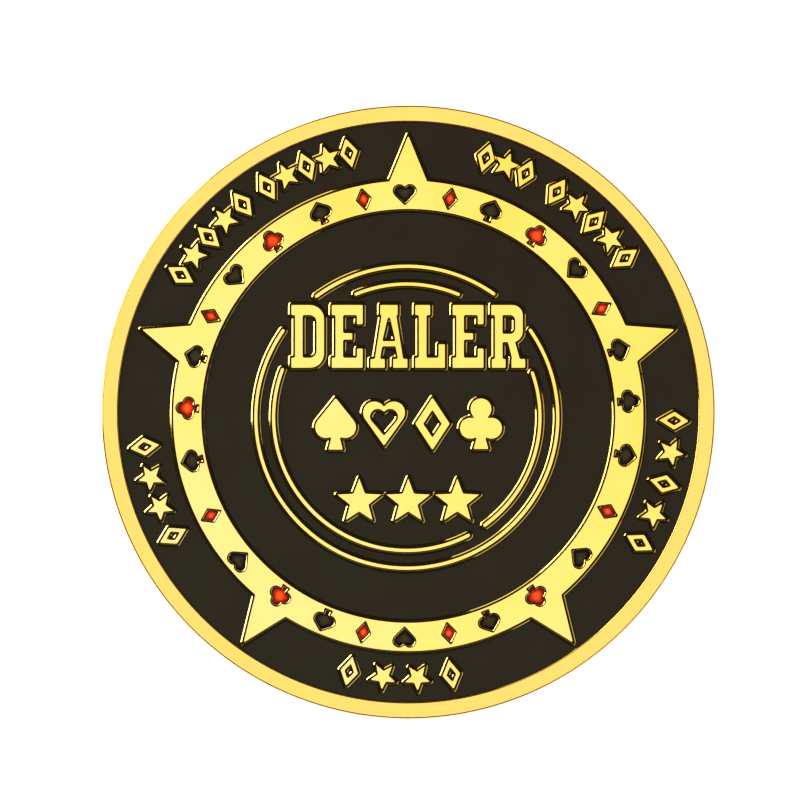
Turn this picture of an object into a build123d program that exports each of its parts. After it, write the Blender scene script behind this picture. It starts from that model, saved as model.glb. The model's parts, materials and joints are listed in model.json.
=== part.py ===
from build123d import *

import os
from math import acos, atan2, cos, hypot, pi, radians, sin

# Dealer button: a die-struck, gold-plated metal token with soft enamel poured into the recesses of both faces.
# Millimetres. It lies flat: +Z is up, the origin is the centre of the face it rests on, and +Y is the top of
# the design. The back carries the same design as the front, upright when the token is turned about Y.

# ---- Driving dimensions -------------------------------------------------------------------------------------

DIAMETER = 50.0
THICKNESS = 3.5
EDGE_ROUNDING = 0.15

RIM_INNER_RADIUS = 23.70
BAND_OUTER_RADIUS = 19.21
BAND_INNER_RADIUS = 16.84
BAND_CENTRE = (0.0, -0.31)  # the band, its suits and its star are struck a little below the rim's centre
STAR_TIP_RADIUS = 22.95
STAR_POINTS = 5
STAR_POINT_HALF_ANGLE = 4.65

RELIEF_STEP = 0.05  # how far the raised design stays below the rim, so that the rim takes the wear
RECESS_DEPTH = 0.65  # from the rim down to the floor of a recess
ENAMEL_THICKNESS = 0.35  # the enamel shrinks as it cures, so its surface stays below the metal

ARC_CENTRE = (-0.12, -0.42)
ARC_WIDTH = 0.34
OUTER_ARC_RADIUS = 12.31
OUTER_ARCS = [(-36.8, 35.2), (54.8, 305.0)]  # clockwise from the top, in degrees
INNER_ARC_RADIUS = 10.86
INNER_ARCS = [(-22.5, 22.8), (70.5, 144.2), (152.4, 291.0)]

PIP_SIZES = {  # width and height of each suit's recess on the band
    "heart": (1.88, 1.68),
    "spade": (1.84, 1.90),
    "club": (1.86, 1.88),
    "diamond": (1.27, 1.90),
}
PIPS = [  # the suits on the band, clockwise from the top; their spacing is uneven
    ("heart", -0.9),
    ("diamond", 10.9),
    ("spade", 22.0),
    ("club", 35.5),
    ("heart", 48.9),
    ("diamond", 61.0),
    ("spade", 72.6),
    ("club", 86.2),
    ("spade", 100.3),
    ("diamond", 115.6),
    ("heart", 129.3),
    ("club", 144.6),
    ("spade", 158.5),
    ("diamond", 169.4),
    ("heart", 181.0),
    ("diamond", 191.7),
    ("spade", 202.3),
    ("club", 215.5),
    ("heart", 229.5),
    ("diamond", 243.2),
    ("spade", 258.2),
    ("club", 272.0),
    ("spade", 285.6),
    ("diamond", 296.8),
    ("heart", 308.9),
    ("club", 322.2),
    ("spade", 336.7),
    ("diamond", 348.4),
]
BLACK_CLUB_ANGLE = 86.2  # the one club that is filled with black instead of red

LETTER_HEIGHT = 5.2
LETTER_SLAB = 0.9  # height of the slab serifs
LETTER_STEM = 0.7
SERIF_OVERHANG = 0.3
LETTER_ROW_Y = 6.17
LETTER_GAP = 0.55
WORD = "DEALER"

SUIT_ROW = ["spade", "heart", "diamond", "club"]
SUIT_ROW_Y = -0.95
SUIT_ROW_PITCH = 3.95
SUIT_ROW_SIZES = {
    "heart": (3.5, 3.7),
    "spade": (3.4, 4.3),
    "club": (3.5, 4.2),
    "diamond": (2.9, 4.4),
}
SUIT_ROW_LINE = 0.62  # line width of the hollow heart and diamond
HEART_SPACE_SIZE = (2.2, 2.1)
HEART_SPACE_LIFT = 0.12  # the space sits above the heart's middle, because the tip needs more metal

STAR_ROW_Y = -7.3
STAR_ROW_PITCH = 4.0
STAR_ROW_RADIUS = 2.0
STAR_WAIST = 0.42  # inner over outer radius of a small star

ORNAMENT_RADIUS = 21.68
ORNAMENT_GROUPS = [  # start angle, end angle and count of each run of small ornaments around the star
    (14.7, 28.5, 3),
    (31.4, 57.2, 5),
    (88.4, 122.9, 5),
    (167.0, 196.5, 4),
    (238.9, 265.9, 4),
    (298.5, 324.0, 5),
    (325.5, 349.5, 5),
]
ORNAMENT_STAR_RADIUS = 1.2
LOZENGE_SIZE = (1.55, 2.55)
LOZENGE_LINE = 0.36

FRONT = Plane((0, 0, THICKNESS), x_dir=(1, 0, 0), z_dir=(0, 0, 1))
BACK = Plane((0, 0, 0), x_dir=(-1, 0, 0), z_dir=(0, 0, -1))


# ---- Small outlines -----------------------------------------------------------------------------------------


def around(radius, angle):
    """The place at this radius and angle, clockwise from the top, with its own +Y pointing outwards."""
    return Location((radius * sin(radians(angle)), radius * cos(radians(angle)), 0), (0, 0, -angle))


def flat(points):
    """A face bounded by straight lines through the points, in the sketch being built."""
    Polygon(*points)


def touch_point(tip, centre, radius, side):
    """Where the line from the tip touches the circle, on its right (side 1) or its left (side -1)."""
    towards_tip = atan2(tip[1] - centre[1], tip[0] - centre[0])
    turn = acos(radius / hypot(tip[0] - centre[0], tip[1] - centre[1]))
    angle = towards_tip + side * turn
    return (centre[0] + radius * cos(angle), centre[1] + radius * sin(angle))


def drop(width, tip_y, lobe_y, direction):
    """A heart's body: two round lobes and straight sides to a tip. direction 1 has the tip below the lobes."""
    radius = 0.27 * width
    lobe_x = width / 2 - radius
    right = touch_point((0, tip_y), (lobe_x, lobe_y), radius, direction)
    flat([(0, tip_y), right, (lobe_x, lobe_y), (-lobe_x, lobe_y), (-right[0], right[1])])
    with Locations((lobe_x, lobe_y), (-lobe_x, lobe_y)):
        Circle(radius)


def stalk(width, top_y, foot_y):
    """The flared foot under a spade or a club."""
    flat([(0.05 * width, top_y), (0.19 * width, foot_y), (-0.19 * width, foot_y), (-0.05 * width, top_y)])


def suit(kind, width, height):
    """The outline of a card suit, centred on its box."""
    with BuildSketch(mode=Mode.PRIVATE) as outline:
        if kind == "diamond":
            flat([(0, height / 2), (width / 2, 0), (0, -height / 2), (-width / 2, 0)])
        elif kind == "heart":
            drop(width, -height / 2, height / 2 - 0.27 * width, 1)
        elif kind == "spade":
            lobe_y = -0.28 * height + 0.27 * width
            drop(width, height / 2, lobe_y, -1)
            stalk(width, lobe_y, -height / 2)
        else:
            leaf = 0.255 * width
            side_y = -0.30 * height + leaf
            with Locations((0, height / 2 - leaf), (width / 2 - leaf, side_y), (leaf - width / 2, side_y)):
                Circle(leaf)
            with Locations((0, side_y + 0.5 * leaf)):
                Circle(0.62 * leaf)
            stalk(width, side_y, -height / 2)
    return outline.sketch


def star(radius):
    """A solid five-pointed star with one point up."""
    corners = 2 * STAR_POINTS
    points = []
    for i in range(corners):
        reach = radius if i % 2 == 0 else STAR_WAIST * radius
        points.append((reach * sin(2 * pi * i / corners), reach * cos(2 * pi * i / corners)))
    with BuildSketch(mode=Mode.PRIVATE) as outline:
        flat(points)
    return outline.sketch


def narrowed(size, line):
    """The size of the hole that leaves a line of this width inside a diamond of this size."""
    width, height = size
    share = 1 - 2 * line * hypot(width, height) / (width * height)
    return (width * share, height * share)


# ---- Lettering: plain slab-serif capitals, each from the origin to its width and LETTER_HEIGHT --------------


def capital(letter):
    """The solid outline of one capital, the outline of its enclosed space or None, and its width."""
    top = LETTER_HEIGHT
    slab = LETTER_SLAB
    stem_left = SERIF_OVERHANG
    stem_right = SERIF_OVERHANG + LETTER_STEM
    middle = top / 2
    space = None
    with BuildSketch(mode=Mode.PRIVATE) as solid:
        if letter == "D":
            width = 2.75
            with Locations((width / 2, middle)):
                Rectangle(width, top)
            fillet(solid.vertices().group_by(Axis.X)[-1], 1.2)
            with Locations((stem_left / 2, middle)):
                Rectangle(stem_left, top - 2 * slab, mode=Mode.SUBTRACT)
            with BuildSketch(mode=Mode.PRIVATE) as space:
                with Locations(((stem_right + width - LETTER_STEM) / 2, middle)):
                    Rectangle(width - LETTER_STEM - stem_right, top - 2 * slab)
                fillet(space.vertices().group_by(Axis.X)[-1], 0.5)
        elif letter == "E":
            width = 2.6
            beak = 0.55
            with Locations((stem_right / 2, middle)):
                Rectangle(stem_right, top)
            with Locations((width / 2, slab / 2), (width / 2, top - slab / 2)):
                Rectangle(width, slab)
            with Locations((width - beak / 2, slab + 0.35), (width - beak / 2, top - slab - 0.35)):
                Rectangle(beak, 0.8)
            with Locations(((stem_left + width - 0.85) / 2, middle)):
                Rectangle(width - 0.85 - stem_left, 0.6)
            with Locations((stem_left / 2, middle)):
                Rectangle(stem_left, top - 2 * slab, mode=Mode.SUBTRACT)
        elif letter == "L":
            width = 2.5
            beak = 0.6
            with Locations(((stem_left + stem_right) / 2, middle)):
                Rectangle(LETTER_STEM, top)
            with Locations(((stem_left + stem_right) / 2, top - slab / 2)):
                Rectangle(LETTER_STEM + 2 * SERIF_OVERHANG, slab)
            with Locations((width / 2, slab / 2)):
                Rectangle(width, slab)
            with Locations((width - beak / 2, slab + 0.5)):
                Rectangle(beak, 1.2)
        elif letter == "A":
            width = 3.1
            half = width / 2
            foot = 1.25
            bar_top = 2.25
            bar_bottom = 1.75
            with Locations((foot / 2, 0.4), (width - foot / 2, 0.4)):
                Rectangle(foot, 0.8)
            flat([(0.3, 0.4), (0.8, 0.4), (half, top - 0.5), (width - 0.8, 0.4), (width - 0.3, 0.4),
                  (half + 0.5, top), (half - 0.5, top)])
            flat([(0.8, bar_bottom), (width - 0.8, bar_bottom), (half, top - 0.5)])
            with Locations((half, top - slab / 2)):
                Rectangle(1.5, slab)
            with BuildSketch(mode=Mode.PRIVATE) as space:
                flat([(1.06, bar_top), (width - 1.06, bar_top), (half, 4.25)])
        else:
            width = 2.85
            bowl_right = 2.65
            bowl_bottom = 2.1
            with Locations((bowl_right / 2, (bowl_bottom + top) / 2)):
                Rectangle(bowl_right, top - bowl_bottom)
            fillet(solid.vertices().group_by(Axis.X)[-1], 0.9)
            with Locations((stem_left / 2, (bowl_bottom + top - slab) / 2)):
                Rectangle(stem_left, top - slab - bowl_bottom, mode=Mode.SUBTRACT)
            with Locations(((stem_left + stem_right) / 2, middle)):
                Rectangle(LETTER_STEM, top)
            with Locations(((stem_left + stem_right) / 2, 0.4), (width - 0.6, 0.4)):
                Rectangle(1.2, 0.8)
            flat([(1.3, bowl_bottom + 0.3), (1.95, bowl_bottom + 0.3), (2.5, 0.4), (1.8, 0.4)])
            with BuildSketch(mode=Mode.PRIVATE) as space:
                with Locations(((stem_right + bowl_right - LETTER_STEM) / 2, (2.85 + top - slab) / 2)):
                    Rectangle(bowl_right - LETTER_STEM - stem_right, top - slab - 2.85)
                fillet(space.vertices().group_by(Axis.X)[-1], 0.35)
    return solid.sketch, space.sketch if space is not None else None, width


# ---- The design, laid out on one face -----------------------------------------------------------------------


def arcs(radius, spans):
    """Raised lines with round ends along stretches of a circle, in the sketch being built."""
    for start, end in spans:
        with BuildLine(mode=Mode.PRIVATE) as path:
            CenterArc(ARC_CENTRE, radius, 90 - end, end - start)
        SlotArc(path.edge(), ARC_WIDTH)


capitals = [capital(letter) for letter in WORD]
word_width = sum(width for _, _, width in capitals) + LETTER_GAP * (len(WORD) - 1)
row_suits = [suit(kind, *SUIT_ROW_SIZES[kind]) for kind in SUIT_ROW]
row_star = star(STAR_ROW_RADIUS)

with BuildSketch() as centre_counters:
    pen_x = -word_width / 2
    for _, space, width in capitals:
        if space is not None:
            with Locations((pen_x, LETTER_ROW_Y - LETTER_HEIGHT / 2)):
                add(space)
        pen_x += width + LETTER_GAP
    for i, kind in enumerate(SUIT_ROW):
        with Locations(((i - 1.5) * SUIT_ROW_PITCH, SUIT_ROW_Y)):
            if kind == "diamond":
                add(suit("diamond", *narrowed(SUIT_ROW_SIZES["diamond"], SUIT_ROW_LINE)))
        with Locations(((i - 1.5) * SUIT_ROW_PITCH, SUIT_ROW_Y + HEART_SPACE_LIFT)):
            if kind == "heart":
                add(suit("heart", *HEART_SPACE_SIZE))

with BuildSketch() as centre_relief:
    arcs(OUTER_ARC_RADIUS, OUTER_ARCS)
    arcs(INNER_ARC_RADIUS, INNER_ARCS)
    pen_x = -word_width / 2
    for solid, _, width in capitals:
        with Locations((pen_x, LETTER_ROW_Y - LETTER_HEIGHT / 2)):
            add(solid)
        pen_x += width + LETTER_GAP
    for i, outline in enumerate(row_suits):
        with Locations(((i - 1.5) * SUIT_ROW_PITCH, SUIT_ROW_Y)):
            add(outline)
    with Locations(*[(i * STAR_ROW_PITCH, STAR_ROW_Y) for i in (-1, 0, 1)]):
        add(row_star)

with BuildSketch() as centre_field:
    with Locations(BAND_CENTRE):
        Circle(BAND_INNER_RADIUS)
    add(centre_relief.sketch, mode=Mode.SUBTRACT)

ornament_star = star(ORNAMENT_STAR_RADIUS)
lozenge = suit("diamond", *LOZENGE_SIZE)
lozenge_space = suit("diamond", *narrowed(LOZENGE_SIZE, LOZENGE_LINE))
lozenge_places = []
star_places = []
for start, end, count in ORNAMENT_GROUPS:
    pitch = (end - start) / count
    for i in range(count):
        places = lozenge_places if min(i, count - 1 - i) % 2 == 0 else star_places
        places.append(around(ORNAMENT_RADIUS, start + (i + 0.5) * pitch))

with BuildSketch() as outer_counters:
    with Locations(*lozenge_places):
        add(lozenge_space)

with BuildSketch() as outer_relief:
    with Locations(*lozenge_places):
        add(lozenge)
    with Locations(*star_places):
        add(ornament_star)
    half_width = BAND_OUTER_RADIUS * sin(radians(STAR_POINT_HALF_ANGLE))
    shoulder = BAND_OUTER_RADIUS * cos(radians(STAR_POINT_HALF_ANGLE))
    base_radius = (BAND_OUTER_RADIUS + BAND_INNER_RADIUS) / 2
    base_half = half_width * (STAR_TIP_RADIUS - base_radius) / (STAR_TIP_RADIUS - shoulder)
    with BuildSketch(mode=Mode.PRIVATE) as point:
        flat([(0, STAR_TIP_RADIUS), (base_half, base_radius), (-base_half, base_radius)])
    for i in range(STAR_POINTS):
        with Locations(Location((*BAND_CENTRE, 0)) * around(0, i * 360 / STAR_POINTS)):
            add(point.sketch)

with BuildSketch() as outer_field:
    Circle(RIM_INNER_RADIUS)
    with Locations(BAND_CENTRE):
        Circle(BAND_OUTER_RADIUS, mode=Mode.SUBTRACT)
    add(outer_relief.sketch, mode=Mode.SUBTRACT)

pip_radius = (BAND_OUTER_RADIUS + BAND_INNER_RADIUS) / 2
pip_outlines = {kind: suit(kind, *size) for kind, size in PIP_SIZES.items()}


def pip_sketch(chosen):
    """The outlines of the chosen pips, each a (kind, angle) pair, in their places on the band."""
    with BuildSketch(mode=Mode.PRIVATE) as outline:
        for kind, angle in chosen:
            with Locations(Location((*BAND_CENTRE, 0)) * around(pip_radius, angle)):
                add(pip_outlines[kind])
    return outline.sketch


# ---- The struck metal body ----------------------------------------------------------------------------------

all_pips = pip_sketch(PIPS)
recesses = [outer_field.sketch, outer_counters.sketch, centre_field.sketch, centre_counters.sketch, all_pips]

with BuildPart() as struck_body:
    Cylinder(DIAMETER / 2, THICKNESS, align=(Align.CENTER, Align.CENTER, Align.MIN))
    fillet(struck_body.edges().filter_by(GeomType.CIRCLE), EDGE_ROUNDING)
    for side in (FRONT, BACK):
        with BuildSketch(side):
            Circle(RIM_INNER_RADIUS)
        extrude(amount=-RELIEF_STEP, mode=Mode.SUBTRACT)
        with BuildSketch(side):
            for recess in recesses:
                add(recess)
        extrude(amount=-RECESS_DEPTH, mode=Mode.SUBTRACT)
struck_body.part.label = "struck_body"


# ---- The enamel ---------------------------------------------------------------------------------------------


def enamel(name, side, outline):
    """Cured enamel that fills the recesses of this outline from their floor up."""
    with BuildPart() as pool:
        with BuildSketch(side.offset(-RECESS_DEPTH)):
            add(outline)
        extrude(amount=ENAMEL_THICKNESS)
    pool.part.label = name
    return pool.part


pieces = [struck_body.part]
for side_name, side in (("front", FRONT), ("back", BACK)):
    pieces.append(enamel(f"{side_name}_outer_field_enamel", side, outer_field.sketch))
    pieces.append(enamel(f"{side_name}_centre_field_enamel", side, centre_field.sketch))
    pieces.append(enamel(f"{side_name}_ornament_counter_enamel", side, outer_counters.sketch))
    pieces.append(enamel(f"{side_name}_lettering_counter_enamel", side, centre_counters.sketch))

for number, pip in enumerate(PIPS, start=1):
    pieces.append(enamel(f"front_pip_{number:02d}_{pip[0]}", FRONT, pip_sketch([pip])))

for kind in PIP_SIZES:
    alike = [pip for pip in PIPS if pip[0] == kind and pip != ("club", BLACK_CLUB_ANGLE)]
    pieces.append(enamel(f"back_{kind}_pips", BACK, pip_sketch(alike)))
pieces.append(enamel("back_black_club_pip", BACK, pip_sketch([("club", BLACK_CLUB_ANGLE)])))

os.makedirs("parts", exist_ok=True)
for piece in pieces:
    export_step(piece, f"parts/{piece.label}.step")
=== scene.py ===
"""A gold-plated enamel dealer button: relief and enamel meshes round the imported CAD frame, in metres."""
import json
import math

import bpy
import numpy as np
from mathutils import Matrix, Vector
from mathutils.geometry import delaunay_2d_cdt


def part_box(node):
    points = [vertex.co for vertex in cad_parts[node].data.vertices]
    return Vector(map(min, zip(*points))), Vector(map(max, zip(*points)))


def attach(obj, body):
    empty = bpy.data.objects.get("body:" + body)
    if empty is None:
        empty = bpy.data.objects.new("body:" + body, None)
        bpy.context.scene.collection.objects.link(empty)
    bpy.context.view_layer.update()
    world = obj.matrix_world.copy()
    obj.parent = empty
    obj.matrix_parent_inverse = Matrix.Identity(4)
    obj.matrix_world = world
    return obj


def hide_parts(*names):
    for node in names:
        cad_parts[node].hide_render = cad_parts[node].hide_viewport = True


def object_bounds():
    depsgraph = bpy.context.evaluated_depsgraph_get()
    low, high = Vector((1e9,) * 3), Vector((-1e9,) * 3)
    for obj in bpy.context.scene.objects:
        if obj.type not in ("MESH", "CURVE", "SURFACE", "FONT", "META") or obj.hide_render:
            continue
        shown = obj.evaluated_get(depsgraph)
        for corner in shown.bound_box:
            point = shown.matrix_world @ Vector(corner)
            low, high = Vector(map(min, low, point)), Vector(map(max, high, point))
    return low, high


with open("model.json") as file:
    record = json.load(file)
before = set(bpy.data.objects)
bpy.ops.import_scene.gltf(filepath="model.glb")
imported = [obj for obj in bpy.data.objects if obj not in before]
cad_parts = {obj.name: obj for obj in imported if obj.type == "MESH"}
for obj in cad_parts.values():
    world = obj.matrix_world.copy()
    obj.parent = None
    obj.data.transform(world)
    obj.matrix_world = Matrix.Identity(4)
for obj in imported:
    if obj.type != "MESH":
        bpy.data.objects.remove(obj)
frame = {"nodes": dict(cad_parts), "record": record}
cad_low, cad_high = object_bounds()

# ---- Sizes, in millimetres --------------------------------------------------------------------------------

MM = 0.001
RADIUS = (cad_high.x - cad_low.x) / 2 / MM
THICKNESS = (cad_high.z - cad_low.z) / MM
OUTER_POOL_LOW, OUTER_POOL_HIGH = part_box("front_outer_field_enamel")
OUTER_POOL_RADIUS = OUTER_POOL_HIGH.x / MM
CENTRE_POOL_LOW, CENTRE_POOL_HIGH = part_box("front_centre_field_enamel")
CENTRE_POOL_RADIUS = (CENTRE_POOL_HIGH.x - CENTRE_POOL_LOW.x) / 2 / MM
ENAMEL_FLOOR = OUTER_POOL_LOW.z / MM
ENAMEL_LEVEL = OUTER_POOL_HIGH.z / MM

EDGE_ROUNDING = 0.15
RELIEF_STEP = 0.05
BAND_OUTER_RADIUS = 19.21
BAND_CENTRE = (0.0, -0.31)
STAR_TIP_RADIUS = 22.95
STAR_POINTS = 5
STAR_POINT_HALF_ANGLE = 4.65

ARC_CENTRE = (-0.12, -0.42)
ARC_WIDTH = 0.34
OUTER_ARC_RADIUS = 12.31
OUTER_ARCS = [(-36.8, 35.2), (54.8, 305.0)]
INNER_ARC_RADIUS = 10.86
INNER_ARCS = [(-22.5, 22.8), (70.5, 144.2), (152.4, 291.0)]

PIP_SIZES = {"heart": (1.88, 1.68), "spade": (1.84, 1.90), "club": (1.86, 1.88), "diamond": (1.27, 1.90)}
PIPS = [  # each suit and its angle, clockwise from the top
    ("heart", -0.9), ("diamond", 10.9), ("spade", 22.0), ("club", 35.5), ("heart", 48.9),
    ("diamond", 61.0), ("spade", 72.6), ("club", 86.2), ("spade", 100.3), ("diamond", 115.6),
    ("heart", 129.3), ("club", 144.6), ("spade", 158.5), ("diamond", 169.4), ("heart", 181.0),
    ("diamond", 191.7), ("spade", 202.3), ("club", 215.5), ("heart", 229.5), ("diamond", 243.2),
    ("spade", 258.2), ("club", 272.0), ("spade", 285.6), ("diamond", 296.8), ("heart", 308.9),
    ("club", 322.2), ("spade", 336.7), ("diamond", 348.4),
]

LETTER_HEIGHT = 5.2
LETTER_SLAB = 0.9
LETTER_STEM = 0.7
SERIF_OVERHANG = 0.3
LETTER_ROW_Y = 6.17
LETTER_GAP = 0.55
WORD = "DEALER"

SUIT_ROW = ["spade", "heart", "diamond", "club"]
SUIT_ROW_Y = -0.95
SUIT_ROW_PITCH = 3.95
SUIT_ROW_SIZES = {"heart": (3.5, 3.7), "spade": (3.4, 4.3), "club": (3.5, 4.2), "diamond": (2.9, 4.4)}
SUIT_ROW_LINE = 0.62
HEART_SPACE_SIZE = (2.2, 2.1)
HEART_SPACE_LIFT = 0.12

STAR_ROW_Y = -7.3
STAR_ROW_PITCH = 4.0
STAR_ROW_RADIUS = 2.0
STAR_WAIST = 0.42

ORNAMENT_RADIUS = 21.68
ORNAMENT_GROUPS = [  # the angle where each row starts and ends, and how many ornaments it has
    (14.7, 28.5, 3), (31.4, 57.2, 5), (88.4, 122.9, 5), (167.0, 196.5, 4),
    (238.9, 265.9, 4), (298.5, 324.0, 5), (325.5, 349.5, 5),
]
ORNAMENT_STAR_RADIUS = 1.2
LOZENGE_SIZE = (1.55, 2.55)
LOZENGE_LINE = 0.36

# The wall of every raised shape: distance out from its outline, and depth below its own flat top.
# It goes on to the enamel's edge at CONTACT, and under the enamel to the recess floor at FOOT.
WALL = [(-0.07, 0.0), (-0.045, 0.002), (0.0, 0.015), (0.06, 0.036), (0.12, 0.060), (0.14, 0.073),
        (0.195, 0.112)]
CONTACT = 0.205
CONTACT_DEPTH = 0.122
FOOT = 0.22
SAME_LEVEL = 1e-6  # levels closer than this are one level
RIM_STEEPNESS = 3.0  # how much steeper the wall under the rim is than the walls of the design
PIP_STEEPNESS = 1.5  # the same for the walls of the pips
CLIMB_REACH = 0.022  # how fast the enamel falls from its edge on the wall to its level
POOL_LEVELS = [0.215, 0.23, 0.255, 0.29, 0.35, 0.43, 0.53, 0.65]  # contours of the enamel's bent surface
PIP_DOME = 0.13  # how far the middle of a pip stands above its edge
PIP_GLOW_REACH = 0.30  # how gently a pip's dome and its painted highlight rise towards its middle
LEAST_PIP_DEPTH = 0.8  # a pool's depths are shares of its deepest place, or of this where that is less

GRID_STEP = 0.06
CORNER_SOFTNESS = 0.035  # how far the corners of the outlines are blurred
OUTLINE_ERROR = 0.0045
DISTANCE_REACH = 0.9  # how far from an outline its exact distance is worked out
MARGIN = 1.2  # how far from a small shape its distance is worked out
RIM_SEGMENTS = 384
RIM_LEVEL = -9.0  # marks the outermost flat ring, which no contour makes
EDGE_STEPS = 7  # rings round each rounded edge of the button


# ---- Outlines as signed distances: negative inside the metal, positive over the enamel -------------------

GRID_HALF = OUTER_POOL_RADIUS + 0.45
GRID_COUNT = 2 * math.ceil(GRID_HALF / GRID_STEP) + 1
AXIS = (np.arange(GRID_COUNT) - GRID_COUNT // 2) * GRID_STEP
GRID_X, GRID_Y = np.meshgrid(AXIS, AXIS, indexing="ij")


def polygon_distance(points, x, y):
    """Signed distance from a closed polygon, negative inside."""
    nearest = np.full(x.shape, np.inf)
    inside = np.zeros(x.shape, bool)
    for (ax, ay), (bx, by) in zip(points, points[1:] + points[:1]):
        ex, ey = bx - ax, by - ay
        along = np.clip(((x - ax) * ex + (y - ay) * ey) / (ex * ex + ey * ey), 0, 1)
        nearest = np.minimum(nearest, np.hypot(x - ax - along * ex, y - ay - along * ey))
        if ay != by:
            crosses = (y < ay) != (y < by)
            inside ^= crosses & (x < ax + (y - ay) * ex / ey)
    return np.where(inside, -nearest, nearest)


def disc_distance(centre, radius, x, y):
    return np.hypot(x - centre[0], y - centre[1]) - radius


def rectangle(x0, y0, x1, y1):
    return [(x0, y0), (x1, y0), (x1, y1), (x0, y1)]


def rounded_right(x0, y0, x1, y1, radius):
    """A rectangle whose two right-hand corners are round."""
    points = [(x0, y1), (x0, y0)]
    for centre_y, start in ((y0 + radius, -90), (y1 - radius, 0)):
        for i in range(13):
            angle = math.radians(start + 90 * i / 12)
            points.append((x1 - radius + radius * math.cos(angle), centre_y + radius * math.sin(angle)))
    return points


def touch_point(tip, centre, radius, side):
    """Where a straight line from the tip touches a circle, on the side 1 or -1."""
    towards_tip = math.atan2(tip[1] - centre[1], tip[0] - centre[0])
    angle = towards_tip + side * math.acos(radius / math.dist(tip, centre))
    return (centre[0] + radius * math.cos(angle), centre[1] + radius * math.sin(angle))


def drop(width, tip_y, lobe_y, direction):
    """Two round lobes that narrow to a tip: a heart, or a spade without its stalk."""
    radius = 0.27 * width
    lobe_x = width / 2 - radius
    right = touch_point((0, tip_y), (lobe_x, lobe_y), radius, direction)
    body = [(0, tip_y), right, (lobe_x, lobe_y), (-lobe_x, lobe_y), (-right[0], right[1])]
    return [body], [((lobe_x, lobe_y), radius), ((-lobe_x, lobe_y), radius)]


def stalk(width, top_y, foot_y):
    """The flared foot of a spade or club."""
    return [(0.05 * width, top_y), (0.19 * width, foot_y), (-0.19 * width, foot_y), (-0.05 * width, top_y)]


def suit(kind, width, height):
    """A card suit as (polygons, discs), centred on its box."""
    if kind == "diamond":
        return [[(0, height / 2), (width / 2, 0), (0, -height / 2), (-width / 2, 0)]], []
    if kind == "heart":
        return drop(width, -height / 2, height / 2 - 0.27 * width, 1)
    if kind == "spade":
        lobe_y = -0.28 * height + 0.27 * width
        polygons, discs = drop(width, height / 2, lobe_y, -1)
        return polygons + [stalk(width, lobe_y, -height / 2)], discs
    leaf = 0.255 * width
    side_x, side_y = width / 2 - leaf, -0.30 * height + leaf
    leaves = [((0, height / 2 - leaf), leaf), ((side_x, side_y), leaf), ((-side_x, side_y), leaf)]
    middle = ((0, side_y + 0.5 * leaf), 0.62 * leaf)
    return [stalk(width, side_y, -height / 2)], leaves + [middle]


def star(radius):
    """A five-pointed star as (polygons, discs)."""
    points = []
    for i in range(2 * STAR_POINTS):
        reach = radius if i % 2 == 0 else STAR_WAIST * radius
        angle = math.pi * i / STAR_POINTS
        points.append((reach * math.sin(angle), reach * math.cos(angle)))
    return [points], []


def narrowed(size, line):
    """The size of a diamond that leaves a line of this width inside a diamond of the given size."""
    width, height = size
    share = 1 - 2 * line * math.hypot(width, height) / (width * height)
    return (width * share, height * share)


class Face:
    """The design of one face: signed distances on a square grid over the field inside the rim."""

    def __init__(self):
        from_band = np.hypot(GRID_X - BAND_CENTRE[0], GRID_Y - BAND_CENTRE[1])
        self.metal = np.maximum(from_band - BAND_OUTER_RADIUS, CENTRE_POOL_RADIUS - from_band)
        self.pips = np.zeros(GRID_X.shape)

    def local(self, place):
        """The part of the grid near a place (x, y, clockwise turn, reach), and its points in those axes."""
        x, y, turn, reach = place
        rows = slice(*np.searchsorted(AXIS, (x - reach, x + reach)))
        columns = slice(*np.searchsorted(AXIS, (y - reach, y + reach)))
        dx, dy = GRID_X[rows, columns] - x, GRID_Y[rows, columns] - y
        c, s = math.cos(math.radians(turn)), math.sin(math.radians(turn))
        return (rows, columns), dx * c - dy * s, dx * s + dy * c

    def distance(self, shape, x, y):
        polygons, discs = shape
        parts = [polygon_distance(points, x, y) for points in polygons]
        parts += [disc_distance(centre, radius, x, y) for centre, radius in discs]
        return np.minimum.reduce(parts)

    def raise_shape(self, shape, place, space=None, space_lift=0.0):
        """Adds a raised shape, with an enamelled space inside it if one is given."""
        window, x, y = self.local(place)
        found = self.distance(shape, x, y)
        if space is not None:
            found = np.maximum(found, -self.distance(space, x, y - space_lift))
        self.metal[window] = np.minimum(self.metal[window], found)

    def sink_shape(self, shape, place):
        """Cuts a recess into the metal that is there."""
        window, x, y = self.local(place)
        found = -self.distance(shape, x, y)
        self.metal[window] = np.maximum(self.metal[window], found)
        self.pips[window] = np.maximum(self.pips[window], np.clip(found / GRID_STEP + 0.5, 0, 1))

    def raise_arc(self, radius, start, end):
        """Adds a raised line with round ends along a circle, clockwise from the top."""
        middle, half = math.radians((start + end) / 2), math.radians((end - start) / 2)
        x, y = GRID_X - ARC_CENTRE[0], GRID_Y - ARC_CENTRE[1]
        angle = np.arctan2(x, y) - middle
        angle = np.abs((angle + math.pi) % (2 * math.pi) - math.pi)
        away = np.hypot(x, y)
        ends = [np.hypot(x - radius * math.sin(turn), y - radius * math.cos(turn))
                for turn in (middle - half, middle + half)]
        found = np.where(angle <= half, np.abs(away - radius), np.minimum(*ends)) - ARC_WIDTH / 2
        self.metal = np.minimum(self.metal, found)


def around(radius, angle, reach, centre=(0.0, 0.0)):
    """A place at this radius and angle, clockwise from the top, with its own +Y pointing outwards."""
    turn = math.radians(angle)
    return (centre[0] + radius * math.sin(turn), centre[1] + radius * math.cos(turn), angle, reach)


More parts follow.
